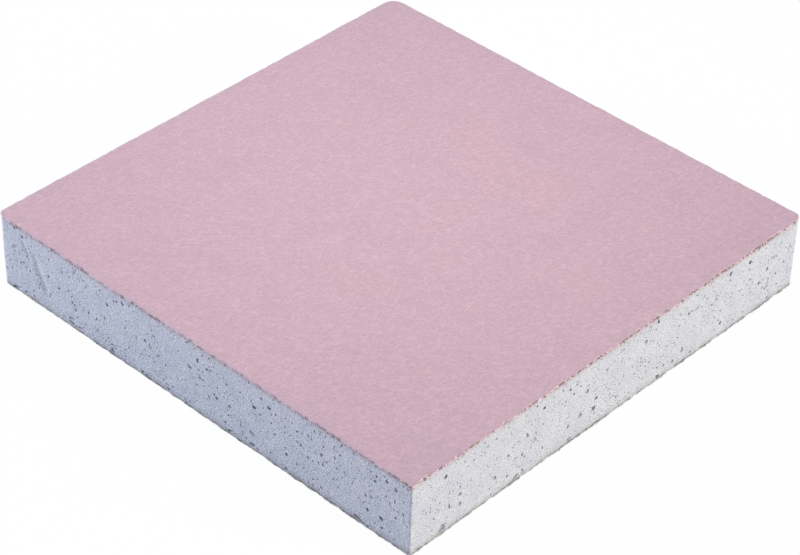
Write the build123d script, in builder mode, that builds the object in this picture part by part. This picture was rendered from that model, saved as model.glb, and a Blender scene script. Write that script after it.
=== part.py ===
from build123d import *
from math import sqrt
import os

# A square sample sawn from a sheet of fire-rated plasterboard, lying flat with its face paper up.
# Millimetres. The origin is the middle of the underside, X and Y run along the sides and Z is up.

os.makedirs("parts", exist_ok=True)

# The board
side = 100.0
thickness = 15.0
paper = 0.35

half = side / 2
core_foot = paper
core_head = thickness - paper

# Each corner of the square has its own wear. It is named by the signs of its X and Y, and has the
# radius of its plan, then how far in and how far up a knock has taken its foot off.
corner_wear = {
    (-1, -1): (1.5, 0.3, 6.0),
    (1, -1): (0.4, 0.3, 1.6),
    (1, 1): (1.4, 0.2, 4.0),
    (-1, 1): (2.8, 0.3, 4.0),
}

# The gypsum crumbles back under each paper, which the saw leaves standing proud with a rubbed rim.
rim_crumble = 0.25
paper_rub = 0.1

# The four sawn sides, each seen square on from outside: X runs to the right and Y up the board.
front_side = Plane(origin=(0, -half, 0), x_dir=(1, 0, 0), z_dir=(0, -1, 0))
right_side = Plane(origin=(half, 0, 0), x_dir=(0, 1, 0), z_dir=(1, 0, 0))
back_side = Plane(origin=(0, half, 0), x_dir=(-1, 0, 0), z_dir=(0, 1, 0))
left_side = Plane(origin=(-half, 0, 0), x_dir=(0, -1, 0), z_dir=(-1, 0, 0))

# The largest air bubbles of the foamed core that the saw has cut in half: along the side, up it, and
# the bubble's radius.
front_bubbles = [
    (-21.5, 10.5, 0.40),
    (-1.0, 9.0, 0.55),
    (14.5, 9.5, 0.55),
    (18.0, 11.5, 0.45),
    (43.5, 4.0, 0.45),
]
right_bubbles = [
    (-42.0, 12.0, 0.50),
    (-22.5, 8.5, 0.50),
    (-9.0, 4.5, 0.60),
    (-5.5, 4.0, 0.60),
    (18.0, 3.0, 0.50),
    (30.0, 13.0, 0.60),
]

# Crumbs broken out of the core along the back paper: along the side, up it, and the crumb's size.
front_crumbs = [(-31.0, 1.0, 0.9), (14.0, 1.2, 1.0)]
right_crumbs = [(-42.5, 1.4, 1.8), (-25.0, 1.0, 1.2), (11.5, 1.0, 1.0)]
crumb_tilt = (25.0, 40.0, 15.0)

sawn_sides = [
    (front_side, front_bubbles, front_crumbs),
    (right_side, right_bubbles, right_crumbs),
    (back_side, front_bubbles, front_crumbs),
    (left_side, right_bubbles, right_crumbs),
]


def worn_square():
    """Draw the sample's plan in the current sketch, each corner with its own radius."""
    Rectangle(side, side)
    for (x_sign, y_sign), (radius, _, _) in corner_wear.items():
        corner = vertices().sort_by_distance((x_sign * half, y_sign * half, 0))[0]
        fillet(corner, radius=radius)


def knock_feet():
    """Cut the foot off each rounded corner of the current part, along a plane that leans outward."""
    for (x_sign, y_sign), (radius, knock_in, knock_up) in corner_wear.items():
        outward = Vector(x_sign, y_sign, 0).normalized()
        crest = Vector(x_sign * half, y_sign * half, 0) - outward * radius * (sqrt(2) - 1)
        leaning = outward * knock_up - Vector(0, 0, knock_in)
        knock = Plane(origin=crest - outward * knock_in, z_dir=leaning)
        split(bisect_by=knock, keep=Keep.BOTTOM)


# Gypsum core: the plan drawn up from foot to head, its rims crumbled, then its sides sawn open
with BuildPart() as gypsum_core:
    with BuildSketch(Plane.XY.offset(core_foot)):
        worn_square()
    extrude(amount=core_head - core_foot)
    rims = gypsum_core.faces().filter_by(Axis.Z).edges()
    chamfer(rims, length=rim_crumble)
    knock_feet()
    for sawn_side, bubbles, crumbs in sawn_sides:
        with Locations(sawn_side):
            for along, height, radius in bubbles:
                with Locations((along, height)):
                    Sphere(radius, mode=Mode.SUBTRACT)
            for along, height, crumb in crumbs:
                with Locations(Location((along, height, 0), crumb_tilt)):
                    Box(crumb, crumb, crumb, mode=Mode.SUBTRACT)
gypsum_core.part.label = "gypsum_core"
export_step(gypsum_core.part, "parts/gypsum_core.step")

# Face paper: the pink liner on top, its upper rim rubbed round
with BuildPart() as face_paper:
    with BuildSketch(Plane.XY.offset(core_head)):
        worn_square()
    extrude(amount=paper)
    upper_rim = face_paper.faces().sort_by(Axis.Z)[-1].edges()
    fillet(upper_rim, radius=paper_rub)
face_paper.part.label = "face_paper"
export_step(face_paper.part, "parts/face_paper.step")

# Back paper: the unbleached liner underneath, its lower rim rubbed round
with BuildPart() as back_paper:
    with BuildSketch(Plane.XY):
        worn_square()
    extrude(amount=paper)
    knock_feet()
    lower_rim = back_paper.faces().sort_by(Axis.Z)[0].edges()
    fillet(lower_rim, radius=paper_rub)
back_paper.part.label = "back_paper"
export_step(back_paper.part, "parts/back_paper.step")
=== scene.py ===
import bpy
import bmesh
import math
import random
from mathutils import Matrix, Vector, noise
from mathutils.geometry import intersect_point_line


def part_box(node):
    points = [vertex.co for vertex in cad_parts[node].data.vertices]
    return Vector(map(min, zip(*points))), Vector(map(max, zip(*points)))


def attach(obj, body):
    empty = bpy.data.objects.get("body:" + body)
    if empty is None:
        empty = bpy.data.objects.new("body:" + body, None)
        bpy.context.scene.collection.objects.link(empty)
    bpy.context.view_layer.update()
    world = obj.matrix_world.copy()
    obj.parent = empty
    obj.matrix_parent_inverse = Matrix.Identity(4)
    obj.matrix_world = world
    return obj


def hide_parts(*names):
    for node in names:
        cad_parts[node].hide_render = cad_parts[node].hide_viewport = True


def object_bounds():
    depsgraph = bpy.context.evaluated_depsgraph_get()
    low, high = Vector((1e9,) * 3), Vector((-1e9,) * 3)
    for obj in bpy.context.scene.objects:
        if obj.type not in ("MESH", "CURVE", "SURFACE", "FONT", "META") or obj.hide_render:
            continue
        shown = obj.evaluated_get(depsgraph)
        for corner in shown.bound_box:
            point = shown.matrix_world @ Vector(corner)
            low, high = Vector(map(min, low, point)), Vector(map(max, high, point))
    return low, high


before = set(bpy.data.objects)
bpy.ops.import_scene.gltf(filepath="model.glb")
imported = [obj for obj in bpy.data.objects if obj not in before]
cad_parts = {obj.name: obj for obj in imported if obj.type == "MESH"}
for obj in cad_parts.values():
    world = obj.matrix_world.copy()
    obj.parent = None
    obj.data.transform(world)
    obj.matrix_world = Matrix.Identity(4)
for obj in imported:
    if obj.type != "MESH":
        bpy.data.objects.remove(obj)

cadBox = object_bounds()
mm = 0.001  # everything below is written in millimetres and built in metres

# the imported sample's own sizes
half = cadBox[1][0] / mm
thickness = cadBox[1][2] / mm
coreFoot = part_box("gypsum_core")[0].z / mm
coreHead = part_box("gypsum_core")[1].z / mm

# the four sawn sides seen square on from outside: outward direction, then direction to the right
sides = {
    "front": (Vector((0, -1, 0)), Vector((1, 0, 0))),
    "right": (Vector((1, 0, 0)), Vector((0, 1, 0))),
    "back": (Vector((0, 1, 0)), Vector((-1, 0, 0))),
    "left": (Vector((-1, 0, 0)), Vector((0, -1, 0))),
}

# the square's corners by the signs of x and y: plan radius, then how far in and up the foot is knocked off
corners = {
    (-1, -1): {"round": 1.5, "knockIn": 0.3, "knockUp": 6.0},
    (1, -1): {"round": 0.4, "knockIn": 0.3, "knockUp": 1.6},
    (1, 1): {"round": 1.4, "knockIn": 0.2, "knockUp": 4.0},
    (-1, 1): {"round": 2.8, "knockIn": 0.3, "knockUp": 4.0},
}

# the photograph's view: a long lens from above the near corner
view = {
    "azimuth": 42.69,    # degrees round from the front side
    "elevation": 38.11,  # degrees above the floor
    "roll": 1.66,        # the photographer's tilt
    "distance": 494.4,   # mm from the middle of the sample's underside
    "aim": (0.056, 0.697),  # mm right and up of that middle
    "lens": 124.48,      # mm
    "sensor": 36,        # mm
}


def makeCamera(s):
    az, el, roll = (math.radians(s[k]) for k in ("azimuth", "elevation", "roll"))
    back = Vector((math.sin(az) * math.cos(el), -math.cos(az) * math.cos(el), math.sin(el)))
    level = Vector((0, 0, 1)).cross(back).normalized()
    upright = back.cross(level)
    right = math.cos(roll) * level + math.sin(roll) * upright
    up = -math.sin(roll) * level + math.cos(roll) * upright
    turn = Matrix((right, up, back)).transposed()
    place = (back * s["distance"] + right * s["aim"][0] + up * s["aim"][1]) * mm
    data = bpy.data.cameras.new("camera")
    data.sensor_width = s["sensor"]
    data.lens = s["lens"]
    data.clip_start = 0.01
    camera = bpy.data.objects.new("camera", data)
    camera.matrix_world = Matrix.Translation(place) @ turn.to_4x4()
    bpy.context.scene.collection.objects.link(camera)
    bpy.context.scene.camera = camera


makeCamera(view)
print("camera placed")


# colours are written as sRGB hex
def toLinear(hexColour):
    channels = [int(hexColour[i:i + 2], 16) / 255 for i in (1, 3, 5)]
    return tuple(c / 12.92 if c <= 0.04045 else ((c + 0.055) / 1.055) ** 2.4 for c in channels) + (1,)


# Adds a node, sets it, and fills its sockets with values or links. Some sockets are known by number: a
# MapRange turns the range from 1 to 2 into that from 3 to 4, and a Mix of colours goes from 6 to 7.
def addNode(tree, kind, sockets, **settings):
    node = tree.nodes.new("ShaderNode" + kind)
    for name, value in settings.items():
        setattr(node, name, value)
    for name, value in sockets.items():
        if isinstance(value, bpy.types.NodeSocket):
            tree.links.new(value, node.inputs[name])
        else:
            node.inputs[name].default_value = value
    return node


def newMaterial(name):
    material = bpy.data.materials.new(name)
    material.use_nodes = True
    tree = material.node_tree
    return material, tree, tree.nodes["Principled BSDF"], addNode(tree, "TexCoord", {}).outputs["Object"]


# pattern sizes are given in mm, and a texture's scale is how many of them fit in a metre
def perMetre(size):
    return 1 / (size * mm)


# one colour with soft patches of another; the edges are the noise values where a patch starts and is full
def mottled(tree, place, size, detail, edges, colour, patches):
    clouds = addNode(tree, "TexNoise", {"Vector": place, "Scale": perMetre(size),
                                        "Detail": detail}).outputs[0]
    share = addNode(tree, "MapRange", {"Value": clouds, 1: edges[0], 2: edges[1]}).outputs[0]
    return addNode(tree, "Mix", {0: share, 6: colour, 7: patches}, data_type="RGBA").outputs[2]


def finishSurface(tree, shader, s, colour, height=None):
    tree.links.new(colour, shader.inputs["Base Color"])
    if height is not None:
        bump = addNode(tree, "Bump", {"Height": height, "Distance": mm, "Strength": s["bump"]}).outputs[0]
        tree.links.new(bump, shader.inputs["Normal"])
    shader.inputs["Roughness"].default_value = s["roughness"]
    shader.inputs["Specular IOR Level"].default_value = s["specular"]


# Foamed gypsum, cut with a coarse saw: a chalky, dead matt white. The saw opens thousands of bubbles;
# the shade in their hollows is painted in as grey specks, and a dusty grain lies between them. Fluff off
# the papers is ground into it along both rims.
gypsumLook = {
    "chalk": "#E0E0DF",
    "dust": "#D8D9DB",
    "cloud": 3.5,    # mm, pale and duller patches
    "grain": 0.30,   # mm, loose dust; drawn coarser than the real 0.1 mm so that it shows
    "grainDepth": 0.42,
    "grainShade": 0.19,
    # bubbles too small to model, their hollows' shade painted as specks: cell mm, largest radius mm,
    # share of cells with none, softness mm, colour of the painted shade
    "specks": [(1.30, 0.40, 0.10, 0.26, "#AAABAF"), (0.85, 0.27, 0.10, 0.10, "#78797E"),
               (0.45, 0.15, 0.16, 0.08, "#7A7B80")],
    "dusted": 0.54,  # how strongly grain and specks show on all but the front, where they are painted in full as shade of raking light
    "frontShadeRamp": (1.2, 0.7),       # mm in from the front, where that painted shade starts and is full
    "crowd": (3.0, 0.25, 1.15),  # mm, how the small bubbles gather, and how much they shrink and swell by it
    "speckDepth": 0.20,
    # what the papers leave on the rims: colour, how far it reaches in mm, its strength
    "headFluff": ("#CFB5B3", 1.4, 0.9),
    "footFluff": ("#B5B0A7", 1.5, 0.6),
    "fluffSize": 0.9,
    "bump": 1,
    "roughness": 0.95,
    "specular": 0.2,
}


def makeGypsum(s):
    material, tree, shader, place = newMaterial("sawnFoamedGypsum")
    colour = mottled(tree, place, s["cloud"], 3, (0.35, 0.65), toLinear(s["chalk"]), toLinear(s["dust"]))
    grain = addNode(tree, "TexNoise", {"Vector": place, "Scale": perMetre(s["grain"]), "Detail": 3,
                                       "Roughness": 0.65}).outputs[0]
    shade = addNode(tree, "MapRange", {"Value": grain, 1: 0.3, 2: 0.7, 3: 1 - s["grainShade"],
                                       4: 1 + s["grainShade"]}).outputs[0]
    axes = addNode(tree, "SeparateXYZ", {0: place})
    # the front's grain and specks are painted stronger, standing in for the shade of light raking across it
    starts, full = ((inward - half) * mm for inward in s["frontShadeRamp"])
    frontPaintedShade = addNode(tree, "MapRange", {"Value": axes.outputs[1], 1: starts, 2: full, 3: s["dusted"],
                                       4: 1}).outputs[0]
    colour = addNode(tree, "Mix", {0: frontPaintedShade, 6: colour, 7: shade}, data_type="RGBA",
                     blend_type="MULTIPLY").outputs[2]
    height = addNode(tree, "Math", {0: grain, 1: s["grainDepth"]}, operation="MULTIPLY").outputs[0]
    size, fewest, most = s["crowd"]
    crowds = addNode(tree, "TexNoise", {"Vector": place, "Scale": perMetre(size), "Detail": 2}).outputs[0]
    crowd = addNode(tree, "MapRange", {"Value": crowds, 1: 0.35, 2: 0.62, 3: fewest, 4: most}).outputs[0]
    for cell, radius, empty, soft, poreShade in s["specks"]:
        bent = addNode(tree, "TexNoise", {"Vector": place, "Scale": perMetre(cell * 0.4)}).outputs["Color"]
        bent = addNode(tree, "VectorMath", {0: bent, "Scale": 0.3 * cell * mm}, operation="SCALE").outputs[0]
        shifted = addNode(tree, "VectorMath", {0: place, 1: bent}, operation="ADD").outputs[0]
        bubbles = addNode(tree, "TexVoronoi", {"Vector": shifted, "Scale": perMetre(cell)})
        luck = addNode(tree, "SeparateColor", {0: bubbles.outputs["Color"]}).outputs[0]
        reach = addNode(tree, "MapRange", {"Value": luck, 1: empty, 2: 1, 3: 0, 4: radius / cell}).outputs[0]
        reach = addNode(tree, "Math", {0: reach, 1: crowd}, operation="MULTIPLY").outputs[0]
        inside = addNode(tree, "Math", {0: reach, 1: bubbles.outputs["Distance"]},
                         operation="SUBTRACT").outputs[0]
        speck = addNode(tree, "MapRange", {"Value": inside, 1: 0, 2: soft / cell, 4: frontPaintedShade},
                        interpolation_type="SMOOTHSTEP").outputs[0]
        # a speck darkens the colour: painted shade in a bubble too small to model
        colour = addNode(tree, "Mix", {0: speck, 6: colour, 7: toLinear(poreShade)}, data_type="RGBA").outputs[2]
        sunk = addNode(tree, "Math", {0: speck, 1: -s["speckDepth"]}, operation="MULTIPLY").outputs[0]
        height = addNode(tree, "Math", {0: height, 1: sunk}, operation="ADD").outputs[0]
    fluffy = addNode(tree, "TexNoise", {"Vector": place, "Scale": perMetre(s["fluffSize"]),
                                        "Detail": 3}).outputs[0]
    for (fluff, reach, strength), rim, way in ((s["headFluff"], coreHead, -1), (s["footFluff"], coreFoot, 1)):
        near = addNode(tree, "MapRange", {"Value": axes.outputs[2], 1: (rim + way * reach) * mm,
                                          2: rim * mm}).outputs[0]
        caught = addNode(tree, "Math", {0: near, 1: fluffy}, operation="MULTIPLY").outputs[0]
        amount = addNode(tree, "MapRange", {"Value": caught, 1: 0.12, 2: 0.6, 3: 0, 4: strength}).outputs[0]
        colour = addNode(tree, "Mix", {0: amount, 6: colour, 7: toLinear(fluff)}, data_type="RGBA").outputs[2]
    finishSurface(tree, shader, s, colour, height)
    return material


# The wall of an opened bubble: the same gypsum, painted grey and mottled darker as shade inside the hollow
bubbleShadeLook = {"wall": "#D2D2D4", "deep": "#B4B5BA", "mottle": 0.5, "roughness": 0.9, "specular": 0.2}


def makeShadedBubbleWall(s):
    material, tree, shader, place = newMaterial("gypsumBubbleWallPaintedShade")
    colour = mottled(tree, place, s["mottle"], 2, (0.35, 0.65), toLinear(s["wall"]), toLinear(s["deep"]))
    finishSurface(tree, shader, s, colour)
    return material


# Pressed recycled paper, dyed pink on its outer ply: soft and matt, with short fibres that mostly lie along
# the paper machine's run, a faint cloudiness from how the pulp settled, and a few undyed flecks.
pinkLook = {
    "pink": "#CFAEB3",
    "duller": "#CBAAB0",
    "warmer": "#CFADB1",
    "cloud": 7.0,
    "warmCloud": 16.0,
    "grain": 0.42,        # mm, the felted surface, drawn coarser than real so that it shows
    "grainShade": 0.085,
    "fibreLong": 1.7,     # mm
    "fibreThick": 0.42,   # mm, drawn thicker than the real 0.03 mm so that it shows
    "fibreTurns": (18, 43, 68, 108),  # degrees
    "fibreShade": 0.068,
    "fibreDepth": 0.04,
    # undyed fibres and dark ones: cell mm, largest radius mm, softness mm, strength, colour
    "flecks": [(5.5, 0.9, 0.8, 0.45, "#DFCBB7"), (3.2, 0.22, 0.15, 0.5, "#AE8E99")],
    "rubbed": "#C4AEB2",
    "torn": "#DCCFC3",
    "tearSize": 2.2,
    "tornFrom": (0.66, 0.72),  # noise values where a tear starts and is full
    "rim": (1.1, 0.0),  # mm in from the side, where the rubbed rim starts and is full
    "bump": 0.7,
    "roughness": 0.9,
    "specular": 0.25,
}


def fibreLayers(tree, place, s):
    layers = None
    for turn in s["fibreTurns"]:
        turned = addNode(tree, "Mapping", {"Vector": place, "Rotation": (0, 0, math.radians(turn)),
                                           "Scale": (1, s["fibreThick"] / s["fibreLong"], 1)},
                         vector_type="TEXTURE").outputs[0]
        strands = addNode(tree, "TexNoise", {"Vector": turned, "Scale": perMetre(s["fibreLong"]), "Detail": 1,
                                             "Distortion": 0.4}).outputs[0]
        thin = addNode(tree, "MapRange", {"Value": strands, 1: 0.5, 2: 0.72},
                       interpolation_type="SMOOTHSTEP").outputs[0]
        if layers is None:
            layers = thin
        else:
            layers = addNode(tree, "Math", {0: layers, 1: thin}, operation="ADD").outputs[0]
    return layers


def makePinkPaper(s):
    material, tree, shader, place = newMaterial("pinkLinerPaper")
    colour = mottled(tree, place, s["cloud"], 4, (0.3, 0.7), toLinear(s["pink"]), toLinear(s["duller"]))
    colour = mottled(tree, place, s["warmCloud"], 2, (0.4, 0.7), colour, toLinear(s["warmer"]))
    fibres = fibreLayers(tree, place, s)
    shade = addNode(tree, "MapRange", {"Value": fibres, 1: 0, 2: 1.6, 3: 1 - s["fibreShade"],
                                       4: 1 + s["fibreShade"]}).outputs[0]
    colour = addNode(tree, "Mix", {0: 1, 6: colour, 7: shade}, data_type="RGBA",
                     blend_type="MULTIPLY").outputs[2]
    grain = addNode(tree, "TexNoise", {"Vector": place, "Scale": perMetre(s["grain"]), "Detail": 3,
                                       "Roughness": 0.6}).outputs[0]
    shade = addNode(tree, "MapRange", {"Value": grain, 1: 0.25, 2: 0.75, 3: 1 - s["grainShade"],
                                       4: 1 + s["grainShade"]}).outputs[0]
    colour = addNode(tree, "Mix", {0: 1, 6: colour, 7: shade}, data_type="RGBA",
                     blend_type="MULTIPLY").outputs[2]
    for cell, radius, soft, strength, tint in s["flecks"]:
        cells = addNode(tree, "TexVoronoi", {"Vector": place, "Scale": perMetre(cell)})
        luck = addNode(tree, "SeparateColor", {0: cells.outputs["Color"]}).outputs[0]
        reach = addNode(tree, "MapRange", {"Value": luck, 1: 0.3, 2: 1, 3: 0, 4: radius / cell}).outputs[0]
        inside = addNode(tree, "Math", {0: reach, 1: cells.outputs["Distance"]},
                         operation="SUBTRACT").outputs[0]
        fleck = addNode(tree, "MapRange", {"Value": inside, 1: 0, 2: soft / cell, 4: strength}).outputs[0]
        colour = addNode(tree, "Mix", {0: fleck, 6: colour, 7: toLinear(tint)}, data_type="RGBA").outputs[2]

    # the rim, rubbed by the saw and torn here and there
    axes = addNode(tree, "SeparateXYZ", {0: place})
    across = addNode(tree, "Math", {0: axes.outputs[0]}, operation="ABSOLUTE").outputs[0]
    along = addNode(tree, "Math", {0: axes.outputs[1]}, operation="ABSOLUTE").outputs[0]
    reachOut = addNode(tree, "Math", {0: across, 1: along}, operation="MAXIMUM").outputs[0]
    starts, full = ((half - inward) * mm for inward in s["rim"])
    rim = addNode(tree, "MapRange", {"Value": reachOut, 1: starts, 2: full},
                  interpolation_type="SMOOTHSTEP").outputs[0]
    wear = addNode(tree, "TexNoise", {"Vector": place, "Scale": perMetre(s["tearSize"]),
                                      "Detail": 3}).outputs[0]
    rubbed = addNode(tree, "Math", {0: rim, 1: wear}, operation="MULTIPLY").outputs[0]
    colour = addNode(tree, "Mix", {0: rubbed, 6: colour, 7: toLinear(s["rubbed"])},
                     data_type="RGBA").outputs[2]
    tears = addNode(tree, "MapRange", {"Value": wear, 1: s["tornFrom"][0], 2: s["tornFrom"][1]}).outputs[0]
    torn = addNode(tree, "Math", {0: rim, 1: tears}, operation="MULTIPLY").outputs[0]
    colour = addNode(tree, "Mix", {0: torn, 6: colour, 7: toLinear(s["torn"])}, data_type="RGBA").outputs[2]

    height = addNode(tree, "Math", {0: fibres, 1: s["fibreDepth"]}, operation="MULTIPLY").outputs[0]
    finishSurface(tree, shader, s, colour, height)
    return material


# The sawn section of a paper: pale matt pulp, dusted with gypsum, with darker brown patches
plyLook = {
    "patch": 0.6,             # mm
    "dusty": (0.45, 0.62),    # noise values where the dust starts and is full
    "darkPatched": (0.42, 0.36),  # the same for the darker patches
    "roughness": 0.95,
    "specular": 0.2,
}
plyColours = {
    "pinkLinerSection": {"pulp": "#DBBFBE", "dusted": "#E5D3D0", "darkPatch": "#AD8E86"},
    "backLinerSection": {"pulp": "#BDBBB7", "dusted": "#CBCAC7", "darkPatch": "#868481"},
}


def makePlySection(name, colours, s):
    material, tree, shader, place = newMaterial(name)
    patches = addNode(tree, "TexNoise", {"Vector": place, "Scale": perMetre(s["patch"]),
                                         "Detail": 3}).outputs[0]
    dusty = addNode(tree, "MapRange", {"Value": patches, 1: s["dusty"][0], 2: s["dusty"][1]}).outputs[0]
    colour = addNode(tree, "Mix", {0: dusty, 6: toLinear(colours["pulp"]), 7: toLinear(colours["dusted"])},
                     data_type="RGBA").outputs[2]
    darkPatches = addNode(tree, "MapRange", {"Value": patches, 1: s["darkPatched"][0], 2: s["darkPatched"][1]}).outputs[0]
    colour = addNode(tree, "Mix", {0: darkPatches, 6: colour, 7: toLinear(colours["darkPatch"])},
                     data_type="RGBA").outputs[2]
    finishSurface(tree, shader, s, colour)
    return material


# Torn paper fibres at the sawn rims: some brown, some bleached pale, some still dyed, all matt
fibreLook = {
    "streak": 0.4,         # mm
    "shades": (0.8, 1.1),  # darkest and lightest, as shares of the colour
    "roughness": 0.9,
    "specular": 0.2,
}
fibreColours = {"brownFibre": "#917672", "paleFibre": "#E3D3CB", "pinkFibre": "#D3AFB6"}


def makeFibre(name, colour, s):
    material, tree, shader, place = newMaterial(name)
    streaks = addNode(tree, "TexNoise", {"Vector": place, "Scale": perMetre(s["streak"]),
                                         "Detail": 1}).outputs[0]
    shade = addNode(tree, "MapRange", {"Value": streaks, 1: 0.3, 2: 0.7, 3: s["shades"][0],
                                       4: s["shades"][1]}).outputs[0]
    tinted = addNode(tree, "Mix", {0: 1, 6: toLinear(colour), 7: shade}, data_type="RGBA",
                     blend_type="MULTIPLY").outputs[2]
    finishSurface(tree, shader, s, tinted)
    return material


# The back liner: unbleached recycled board, grey-brown with pale and dark fibres from its old newsprint
backLook = {
    "board": "#A69E93",
    "darker": "#8F8880",
    "cloud": 7.0,
    "fibreLong": 1.8,
    "fibreThick": 0.25,   # mm, drawn thicker than real so that it shows
    "fibreTurns": (15, 61, 104, 150),
    "fibreShades": (0.84, 1.05),
    "fibreDepth": 0.03,
    "bump": 0.7,
    "roughness": 0.92,
    "specular": 0.2,
}


def makeBackPaper(s):
    material, tree, shader, place = newMaterial("backLinerPaper")
    colour = mottled(tree, place, s["cloud"], 4, (0.3, 0.7), toLinear(s["board"]), toLinear(s["darker"]))
    fibres = fibreLayers(tree, place, s)
    shade = addNode(tree, "MapRange", {"Value": fibres, 1: 0, 2: 1.6, 3: s["fibreShades"][0],
                                       4: s["fibreShades"][1]}).outputs[0]
    colour = addNode(tree, "Mix", {0: 1, 6: colour, 7: shade}, data_type="RGBA",
                     blend_type="MULTIPLY").outputs[2]
    height = addNode(tree, "Math", {0: fibres, 1: s["fibreDepth"]}, operation="MULTIPLY").outputs[0]
    finishSurface(tree, shader, s, colour, height)
    return material


gypsum = makeGypsum(gypsumLook)
shadedBubbleWall = makeShadedBubbleWall(bubbleShadeLook)
pinkPaper = makePinkPaper(pinkLook)
pinkSection, backSection = (makePlySection(name, colours, plyLook) for name, colours in plyColours.items())
backPaper = makeBackPaper(backLook)
tornFibres = [makeFibre(name, colour, fibreLook) for name, colour in fibreColours.items()]
print("materials made")


# the sample's outline between two heights, as an open band of small square faces
def wornBand(low, high, step, rows, cornerSteps):
    bm = bmesh.new()
    middle = Matrix.Translation((0, 0, (low + high) / 2))
    bmesh.ops.create_cube(bm, size=1, matrix=middle @ Matrix.Diagonal((2 * half, 2 * half, high - low, 1)))
    for (signX, signY), wear in corners.items():
        upright = [e for e in bm.edges if all(v.co.x * signX > half - 0.01 and v.co.y * signY > half - 0.01
                                              for v in e.verts)]
        bmesh.ops.bevel(bm, geom=upright, offset=wear["round"], offset_type="OFFSET", segments=cornerSteps,
                        profile=0.5, affect="EDGES", material=-1)
    bm.normal_update()
    bmesh.ops.delete(bm, geom=[f for f in bm.faces if abs(f.normal.z) > 0.9], context="FACES_ONLY")
    long = [e for e in bm.edges if e.calc_length() > half]
    bmesh.ops.subdivide_edges(bm, edges=long, cuts=round(2 * half / step) - 1)
    upright = [e for e in bm.edges if abs(e.verts[0].co.z - e.verts[1].co.z) > 0.9 * (high - low)]
    bmesh.ops.subdivide_edges(bm, edges=upright, cuts=rows - 1)
    bm.normal_update()
    return bm


# the level direction that leads straight out of the sample at a point of its side
def outwardAt(point):
    signs = (math.copysign(1, point.x), math.copysign(1, point.y))
    flat = half - max(1, corners[signs]["round"])  # a sharp corner still turns over a millimetre
    beyond = [max(0.001, abs(value) - flat) for value in point.xy]
    return Vector((beyond[0] * signs[0], beyond[1] * signs[1], 0)).normalized()


# how far in a knocked-off foot leaves a point of the side
def knockFeet(point):
    for signs, wear in corners.items():
        outward = Vector((*signs, 0)).normalized()
        crest = Vector((*signs, 0)) * half - outward * wear["round"] * (math.sqrt(2) - 1)
        over = (point - crest).dot(outward) + wear["knockIn"] * (1 - point.z / wear["knockUp"])
        if point.z < wear["knockUp"] and over > 0:
            point = point - outward * over
    return point


def closeAndStore(bm, name, materials, smoothAngle):
    bm.transform(Matrix.Scale(mm, 4))
    mesh = bpy.data.meshes.new(name)
    bm.to_mesh(mesh)
    bm.free()
    for material in materials:
        mesh.materials.append(material)
    mesh.shade_smooth()
    mesh.set_sharp_from_angle(angle=math.radians(smoothAngle))
    for polygon in mesh.polygons:
        polygon.use_smooth = polygon.area < 2 * mm ** 2  # the wide flats stay level to the eye
    piece = bpy.data.objects.new(name, mesh)
    bpy.context.scene.collection.objects.link(piece)
    return piece


core = {
    "step": 0.4,          # mm between the points of the sawn sides
    "cornerSteps": 5,
    "sunk": 0.02,         # mm that its foot and head reach into the papers
    "waves": [(17.0, 0.10), (3.0, 0.05), (0.9, 0.05)],  # size and depth of the saw's unevenness
    "crumble": (0.11, 0.19),  # mm lost along the foot's rim and the head's, beside the papers
    "crumbleUp": 0.6,
    "crumbleSize": 1.3,
    "crumbleBite": (0.15, 1.1),  # usual share of that loss, and how much it wanders
    "arris": 0.9,         # mm from a corner's crest within which its edge is chipped
    "arrisSize": 1.1,
    "arrisChip": 0.22,
    # saw furrows on the front: ends along and up, half width, depth
    "furrows": [((-41.2, 11.0), (-37.0, 2.8), 0.9, 0.25), ((-44.4, 13.0), (-41.4, 8.4), 0.6, 0.22)],
    "seed": 11,
}

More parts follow.
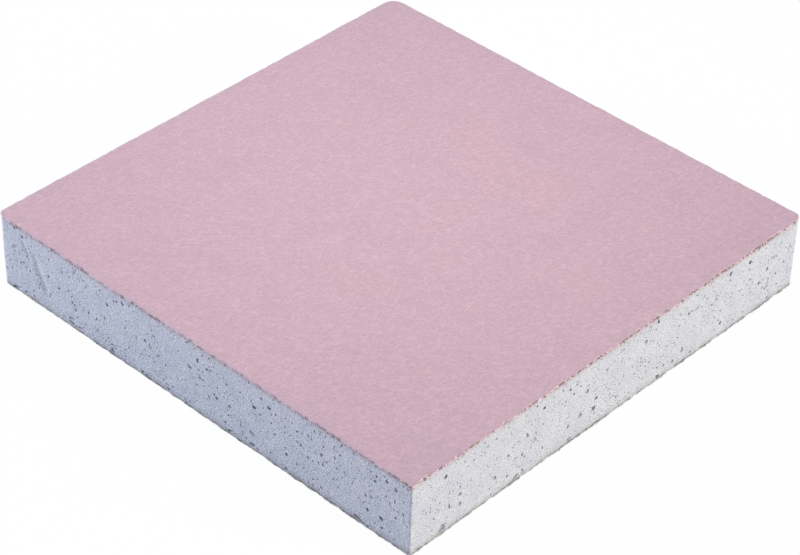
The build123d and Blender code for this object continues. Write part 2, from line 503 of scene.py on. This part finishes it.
# The air bubbles and broken crumbs that can be told apart: along the side, up it, width and height.
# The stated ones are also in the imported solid, and are repeated on the side behind.
statedHollows = {
    "front": [(-21.5, 10.5, 0.8, 0.8), (-1.0, 9.0, 1.2, 0.9), (14.5, 9.5, 1.1, 1.1), (18.0, 11.5, 0.9, 0.9),
              (43.5, 4.0, 1.1, 0.9), (-31.0, 0.9, 1.4, 0.8), (14.0, 1.1, 1.5, 0.9)],
    "right": [(-42.0, 12.0, 1.1, 1.0), (-22.5, 8.5, 0.9, 1.1), (-9.0, 4.5, 1.3, 0.9), (-5.5, 4.0, 1.2, 1.2),
              (18.0, 3.0, 0.9, 1.1), (30.0, 13.0, 1.2, 1.0), (-42.5, 1.3, 1.7, 1.5), (-25.0, 1.0, 2.0, 0.7),
              (11.5, 0.9, 1.3, 0.9)],
}
seenHollows = {
    "front": [(1.0, 11.5, 1.0, 1.0), (-17.5, 13.0, 0.8, 1.2), (14.0, 3.5, 1.6, 0.8), (-43.5, 13.0, 0.9, 0.9),
              (40.5, 4.0, 0.9, 0.9), (44.5, 12.5, 0.8, 0.8), (5.5, 6.0, 0.7, 0.9), (22.0, 4.0, 0.9, 0.7),
              (1.5, 8.0, 0.7, 0.7), (8.5, 6.0, 0.7, 1.0), (42.0, 11.0, 0.8, 0.8), (30.0, 9.0, 0.7, 0.7),
              (46.5, 12.0, 0.8, 1.0), (7.5, 2.0, 0.6, 0.6), (-30.0, 4.5, 0.7, 0.7), (27.0, 6.5, 0.7, 0.7),
              (8.0, 10.5, 0.6, 0.6), (-37.0, 8.0, 0.6, 0.6), (-45.5, 14.0, 0.8, 0.7), (-45.5, 0.8, 5.0, 0.7),
              (-20.5, 0.8, 1.4, 0.7), (-13.0, 0.8, 1.0, 0.7), (-6.5, 0.8, 1.2, 0.6), (8.5, 0.8, 1.2, 0.7),
              (22.0, 0.8, 1.0, 0.7), (38.5, 0.8, 2.4, 0.7)],
    "right": [(10.5, 13.5, 0.9, 0.9), (35.5, 12.5, 1.2, 1.0), (-38.5, 6.0, 0.9, 0.9), (-7.5, 9.0, 0.8, 0.8),
              (-30.0, 4.0, 0.8, 0.9), (-41.0, 5.0, 0.7, 1.4), (28.5, 3.0, 0.9, 0.9), (-12.0, 12.0, 0.7, 0.7),
              (-38.5, 4.0, 0.8, 0.8), (-27.0, 2.5, 0.7, 0.7), (-12.0, 4.0, 0.6, 1.2), (19.0, 10.5, 0.8, 0.8),
              (-18.5, 12.0, 0.9, 0.7), (7.5, 11.0, 1.0, 0.7), (39.0, 6.0, 0.8, 0.8), (15.5, 2.0, 0.8, 0.8),
              (13.0, 2.5, 0.7, 0.7), (-5.0, 6.0, 0.9, 0.9), (-27.0, 7.0, 0.8, 0.8), (-23.5, 5.0, 0.7, 0.7),
              (41.0, 8.0, 0.6, 1.2), (-38.5, 7.5, 0.6, 0.6), (-11.0, 10.5, 0.6, 0.6), (46.0, 7.0, 0.6, 0.6)],
}
otherHollows = {
    "large": 26,            # more on each side that the photograph hides
    "largeSize": (0.6, 1.0),
    "small": 230,           # on every side
    "smallSize": (0.26, 0.55),
    "tall": (0.8, 1.3),     # height as a share of width
    "within": (1.5, 0.5),   # mm from the side's ends and from the papers
    "apart": 1.25,          # least distance between two middles, in sums of their radii
    "clear": 0.1,           # mm of gypsum left between two of them
    "tries": 40,            # before one is left out for want of room
    "sunk": (0.05, 0.55),   # how far each one's middle lies behind the cut, as a share of its depth
    "turn": 0.5,            # radians either way
    "swell": (0.9, 0.55),   # usual size, and how much its wall wanders
}


# how far in from its flat side the saw and the crumbling have left a point of the core
def sawnDepth(point, s):
    depth = 0
    usual, wander = s["crumbleBite"]
    for size, deep in s["waves"]:
        depth += deep * (0.5 + 0.5 * noise.noise(point / size))
    for rim, crumble in zip((point.z - coreFoot, coreHead - point.z), s["crumble"]):
        if rim < s["crumbleUp"]:
            bite = usual + wander * noise.noise(point / s["crumbleSize"] + Vector((7, 0, 3)))
            depth += crumble * max(0, bite) * (1 - max(0, rim) / s["crumbleUp"]) ** 1.3
    for signs, wear in corners.items():
        crest = Vector((*signs, 0)) * (half - wear["round"] * (1 - math.sqrt(0.5)))
        aside = math.hypot(point.x - crest.x, point.y - crest.y) / s["arris"]
        if aside < 1:
            chip = max(0, noise.noise(point / s["arrisSize"] + Vector((0, 5, 0))))
            depth += s["arrisChip"] * chip * (1 - aside)
    for start, end, width, deep in s["furrows"]:
        if point.y < 0.5 - half and point.x < end[0] + 2:
            flat = Vector((point.x, point.z, 0))
            nearest, share = intersect_point_line(flat, Vector((*start, 0)), Vector((*end, 0)))
            aside = (flat - nearest).length / width
            if 0 < share < 1 and aside < 1:
                depth += deep * (1 - aside ** 2) * min(1, 6 * share, 6 * (1 - share))
    return depth


# the hollows of one side, none of them touching another
def hollowsOf(sideName, chance, s):
    opposite = {"back": "front", "left": "right"}.get(sideName, sideName)
    found = list(statedHollows[opposite]) + list(seenHollows.get(sideName, []))
    fewer = 0 if sideName in seenHollows else s["large"]
    sizes = [s["largeSize"]] * fewer + [s["smallSize"]] * s["small"]
    fromEnd, fromPaper = s["within"]
    for smallest, largest in sizes:
        for attempt in range(s["tries"]):
            width = smallest + (largest - smallest) * chance.random() ** 1.6  # small ones are commoner
            tall = width * chance.uniform(*s["tall"])
            along = chance.uniform(fromEnd - half, half - fromEnd)
            height = chance.uniform(coreFoot + fromPaper, coreHead - fromPaper)
            if all(math.hypot(along - a, height - h)
                   > (max(width, tall) + max(w, t)) / 2 * s["apart"] + s["clear"] for a, h, w, t in found):
                found.append((along, height, width, tall))
                break
    return found


# closed lumps, one for each hollow, standing across the sawn sides ready to be cut away
def makeHollows(s):
    chance = random.Random(s["seed"])
    usual, wander = otherHollows["swell"]
    bm = bmesh.new()
    for sideName, (outward, rightward) in sides.items():
        facing = Matrix((rightward, Vector((0, 0, 1)), outward)).transposed().to_4x4()
        for along, height, width, tall in hollowsOf(sideName, chance, otherHollows):
            spot = outward * half + rightward * along + Vector((0, 0, height))
            spot = spot - outward * sawnDepth(spot, s)
            sunk = chance.uniform(*otherHollows["sunk"])
            wider = 1 / math.sqrt(1 - sunk ** 2)
            deep = min(width, tall) / 2.1 * wider
            turn = Matrix.Rotation(chance.uniform(-otherHollows["turn"], otherHollows["turn"]), 4, "Z")
            size = Matrix.Diagonal((width / 2 * wider, tall / 2 * wider, deep, 1))
            place = Matrix.Translation(spot - outward * sunk * deep) @ facing @ turn @ size
            lump = bmesh.ops.create_icosphere(bm, subdivisions=2 if max(width, tall) > 0.5 else 1, radius=1)
            odd = Vector((chance.uniform(0, 50), 0, 0))
            for vert in lump["verts"]:
                swell = usual + wander * noise.noise(vert.co * 1.5 + odd)
                vert.co = place @ (vert.co * swell)
    # the hollows' walls take the second slot: gypsum with painted shade
    for face in bm.faces:
        face.material_index = 1
    return closeAndStore(bm, "hollows", [gypsum, shadedBubbleWall], 60)


def makeCore(s):
    rows = round((coreHead - coreFoot) / s["step"])
    bm = wornBand(coreFoot - s["sunk"], coreHead + s["sunk"], s["step"], rows, s["cornerSteps"])
    for vert in bm.verts:
        vert.co = knockFeet(vert.co - outwardAt(vert.co) * sawnDepth(vert.co, s))
    caps = bmesh.ops.holes_fill(bm, edges=[e for e in bm.edges if e.is_boundary], sides=0)["faces"]
    bmesh.ops.poke(bm, faces=caps)
    bmesh.ops.recalc_face_normals(bm, faces=bm.faces)
    piece = closeAndStore(bm, "gypsumCore", [gypsum, shadedBubbleWall], 60)

    hollows = makeHollows(s)
    cut = piece.modifiers.new("hollows", "BOOLEAN")
    cut.operation = "DIFFERENCE"
    cut.solver = "MANIFOLD"
    cut.object = hollows
    solid = bpy.data.meshes.new_from_object(piece.evaluated_get(bpy.context.evaluated_depsgraph_get()))
    piece.modifiers.clear()
    piece.data = solid
    bpy.data.objects.remove(hollows)
    solid.shade_smooth()
    solid.set_sharp_from_angle(angle=math.radians(38))
    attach(piece, "root")
    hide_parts("gypsum_core")
    print("core", len(solid.polygons), "faces")


makeCore(core)


# how torn fibres stand along both papers' sawn rims
tufts = {
    "clear": 0.9,         # mm from where a corner starts to round
    "rooted": 0.12,       # mm in from the side
    "spread": 0.18,       # mm, how loosely a tuft's fibres stand
    "length": (0.35, 1),  # shares of the longest
    "lean": 0.55,         # sideways, for each mm of length
    "flare": (0.02, 0.22),  # mm that their tips stand out
}


# torn fibres along one paper's rim, as thin tapering tubes
def makeFray(name, s, height):
    chance = random.Random(s["seed"])
    curve = bpy.data.curves.new(name, "CURVE")
    curve.dimensions = "3D"
    curve.bevel_depth = 1
    curve.bevel_resolution = 0
    curve.use_fill_caps = True
    for sideName, (outward, rightward) in sides.items():
        spacing, longest, shares, lift = s["sides"][sideName]
        signs = [tuple(round(value) for value in (outward + rightward * way).xy) for way in (-1, 1)]
        start, end = (corners[pair]["round"] + tufts["clear"] for pair in signs)
        along = start - half
        while along < half - end:
            along += spacing * chance.uniform(0.4, 1.6)
            kind = chance.choices((0, 1, 2), weights=shares)[0]
            for strand in range(chance.choice(s["perTuft"])):
                root = along + chance.gauss(0, tufts["spread"])
                length = longest * chance.uniform(*tufts["length"])
                lean = chance.gauss(0, tufts["lean"])
                drop = chance.uniform(*s["drop"])
                flare = chance.uniform(*tufts["flare"])
                radius = chance.uniform(*s["radius"]) * (0.7 if kind == 1 else 1)
                spline = curve.splines.new("POLY")
                spline.points.add(3)
                for i, point in enumerate(spline.points):
                    t = i / 3
                    out = half - tufts["rooted"] * (1 - min(1, 2 * t)) + flare * t * t
                    sideways = root + lean * length * t
                    up = height + lift + drop * length * t ** 1.4
                    point.co = (*(outward * out + rightward * sideways + Vector((0, 0, up))), 1)
                    point.radius = radius * (1 - 0.75 * t)
                spline.material_index = kind
    fray = bpy.data.objects.new(name, curve)
    bpy.context.scene.collection.objects.link(fray)
    mesh = bpy.data.meshes.new_from_object(fray.evaluated_get(bpy.context.evaluated_depsgraph_get()))
    bpy.data.objects.remove(fray)
    return mesh


# how both papers are sawn
sawnPaper = {
    "step": 0.3,          # mm between the points of the outline
    "rows": 3,
    "cornerSteps": 5,
    "rings": [0.1, 0.1, 0.15],  # mm in, less in all than the sharpest corner's radius
    "raggedIn": 1.5,      # mm in from the side where the outline's wandering ends
    "raggedMore": [(0.4, 0.6), (4, 0.5)],  # finer and wider wandering: times the paper's size, and strength
    "lost": 0.25,         # how much more of the outline is lost than stands out
}


# one paper: its outline sawn ragged, its outer face rolled down to the rim, and the fibres torn there
def makeLiner(name, low, high, s, faceMaterial, section):
    bm = wornBand(low, high, sawnPaper["step"], sawnPaper["rows"], sawnPaper["cornerSteps"])
    outerSign = 1 if s["outerUp"] else -1
    bmesh.ops.holes_fill(bm, edges=[e for e in bm.edges if e.is_boundary], sides=0)
    bmesh.ops.recalc_face_normals(bm, faces=bm.faces)
    outer = [f for f in bm.faces if f.normal.z * outerSign > 0.9]
    rings = []
    for width in sawnPaper["rings"]:
        band = bmesh.ops.inset_region(bm, faces=outer, thickness=width, use_even_offset=True,
                                      use_boundary=True)
        rings.append({v for f in band["faces"] for v in f.verts} - {v for f in outer for v in f.verts})
    bmesh.ops.poke(bm, faces=[f for f in bm.faces if len(f.verts) > 8])  # the two wide faces
    for face in bm.faces:
        face.material_index = 1 if abs(face.normal.z) < 0.5 else 0
    for ring, roll in zip(rings, s["roll"]):
        for vert in ring:
            vert.co.z -= outerSign * roll
    for vert in bm.verts:
        inside = half - max(abs(vert.co.x), abs(vert.co.y))
        share = max(0, 1 - inside / sawnPaper["raggedIn"])
        ragged = noise.noise(Vector((*vert.co.xy, 0)) / s["raggedSize"] + Vector((0, 0, 9)))
        ragged -= sawnPaper["lost"]
        for times, strength in sawnPaper["raggedMore"]:
            ragged += strength * noise.noise(vert.co / (s["raggedSize"] * times))
        outward = outwardAt(vert.co)
        amount = sum(most * max(0, outward.dot(sides[side][0])) ** 2 for side, most in s["ragged"].items())
        vert.co = knockFeet(vert.co + outward * ragged * amount * share)
    fray = makeFray(name + "Fray", s["fray"], s["frayFrom"])
    for polygon in fray.polygons:
        polygon.material_index += 2
    bm.from_mesh(fray)
    bpy.data.meshes.remove(fray)
    piece = closeAndStore(bm, name, [faceMaterial, section] + tornFibres, 50)
    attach(piece, "root")
    print(name, len(piece.data.polygons), "faces")
    return piece


faceLiner = {
    "outerUp": True,
    "roll": [0.1, 0.035, 0.01],  # mm that each ring is rubbed down
    "ragged": {"front": 0.24, "right": 0.36, "back": 0.12, "left": 0.12},  # mm, how far the outline wanders
    "raggedSize": 1.3,    # mm
    "frayFrom": coreHead + 0.10,
    "fray": {
        # for each side: mm between tufts, longest fibre, shares of brown, pale and pink fibres, mm higher up
        "sides": {"front": (0.9, 0.6, (2, 3, 4), 0), "right": (0.55, 0.7, (4, 2, 5), 0.13),
                  "back": (0.7, 0.6, (3, 4, 3), 0), "left": (0.8, 0.6, (3, 4, 3), 0)},
        "perTuft": (1, 2, 2, 3, 4),
        "drop": (-1.0, 0.1),  # upward, for each mm of length
        "radius": (0.04, 0.08),  # mm
        "seed": 5,
    },
}

backLiner = {
    "outerUp": False,
    "roll": [0.03, 0.01, 0.0],
    "ragged": {"front": 0.16, "right": 0.2, "back": 0.14, "left": 0.14},
    "raggedSize": 1.5,
    "frayFrom": coreFoot - 0.12,
    "fray": {
        "sides": {name: (1.6, 0.4, (2, 3, 0), 0) for name in sides},
        "perTuft": (1, 2, 2, 3),
        "drop": (-0.1, 0.8),
        "radius": (0.025, 0.045),
        "seed": 6,
    },
}

pinkLiner = makeLiner("faceLiner", coreHead, thickness, faceLiner, pinkPaper, pinkSection)
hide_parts("face_paper")
brownLiner = makeLiner("backLiner", 0, coreFoot, backLiner, backPaper, backSection)
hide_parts("back_paper")


studio = {
    "floorSide": 3.0,        # metres
    "floorColour": "#D9D9D9",
    "floorWhite": 0.97,      # how much of the floor that the camera sees is plain white
    "skyColour": "#9CA2B8",  # the room's soft light on the sample
    "skyStrength": 1.0,
}

# soft boxes: place and aim in mm, side of the square in mm, watts and colour
lamps = {
    "key": {"place": (1450, 600, 470), "size": 900, "power": 24.0, "colour": "#FFFBF4"},
    "overhead": {"place": (-7, 7, 150), "size": 60, "power": 0.071, "colour": "#FFF9EC"},
    "leftFill": {"place": (-700, -300, 190), "size": 260, "power": 6.6, "colour": "#DFE7FF"},
}


# 1 for the rays that see the backdrop, straight or in a reflection, and 0 for those that only light
def seenRays(tree):
    rays = addNode(tree, "LightPath", {})
    seen = addNode(tree, "Math", {0: rays.outputs["Is Camera Ray"], 1: rays.outputs["Is Glossy Ray"]},
                   operation="MAXIMUM").outputs[0]
    return addNode(tree, "Math", {0: seen, 1: rays.outputs["Is Transmission Ray"]},
                   operation="MAXIMUM").outputs[0]


def makeFloor(s):
    bm = bmesh.new()
    bmesh.ops.create_grid(bm, x_segments=1, y_segments=1, size=s["floorSide"] / 2)
    mesh = bpy.data.meshes.new("floor")
    bm.to_mesh(mesh)
    bm.free()
    floor = bpy.data.objects.new("floor", mesh)
    bpy.context.scene.collection.objects.link(floor)
    material = bpy.data.materials.new("studioFloor")
    material.use_nodes = True
    tree = material.node_tree
    tree.nodes.clear()
    seen = seenRays(tree)
    colour = addNode(tree, "Mix", {0: seen, 6: toLinear(s["floorColour"]), 7: (1, 1, 1, 1)},
                     data_type="RGBA").outputs[2]
    matt = addNode(tree, "BsdfDiffuse", {"Color": colour}).outputs[0]
    white = addNode(tree, "Emission", {"Color": (1, 1, 1, 1), "Strength": 1}).outputs[0]
    share = addNode(tree, "Math", {0: seen, 1: s["floorWhite"]}, operation="MULTIPLY").outputs[0]
    mixed = addNode(tree, "MixShader", {0: share, 1: matt, 2: white}).outputs[0]
    addNode(tree, "OutputMaterial", {"Surface": mixed})
    mesh.materials.append(material)


def makeWorld(s):
    world = bpy.data.worlds.new("studio")
    bpy.context.scene.world = world
    world.use_nodes = True
    tree = world.node_tree
    tree.nodes.clear()
    soft = addNode(tree, "Background", {"Color": toLinear(s["skyColour"]),
                                        "Strength": s["skyStrength"]}).outputs[0]
    white = addNode(tree, "Background", {"Color": (1, 1, 1, 1), "Strength": 1}).outputs[0]
    mixed = addNode(tree, "MixShader", {0: seenRays(tree), 1: soft, 2: white}).outputs[0]
    addNode(tree, "OutputWorld", {"Surface": mixed})


def makeLamp(name, s):
    data = bpy.data.lights.new(name, "AREA")
    data.size = s["size"] * mm
    data.energy = s["power"]
    data.color = toLinear(s["colour"])[:3]
    lamp = bpy.data.objects.new(name, data)
    place = Vector(s["place"]) * mm
    lamp.matrix_world = Matrix.Translation(place) @ place.to_track_quat("Z", "Y").to_matrix().to_4x4()
    bpy.context.scene.collection.objects.link(lamp)


makeFloor(studio)
makeWorld(studio)
for lampName, lampSettings in lamps.items():
    makeLamp(lampName, lampSettings)
bpy.context.scene.view_settings.view_transform = "Standard"
print("studio lit")
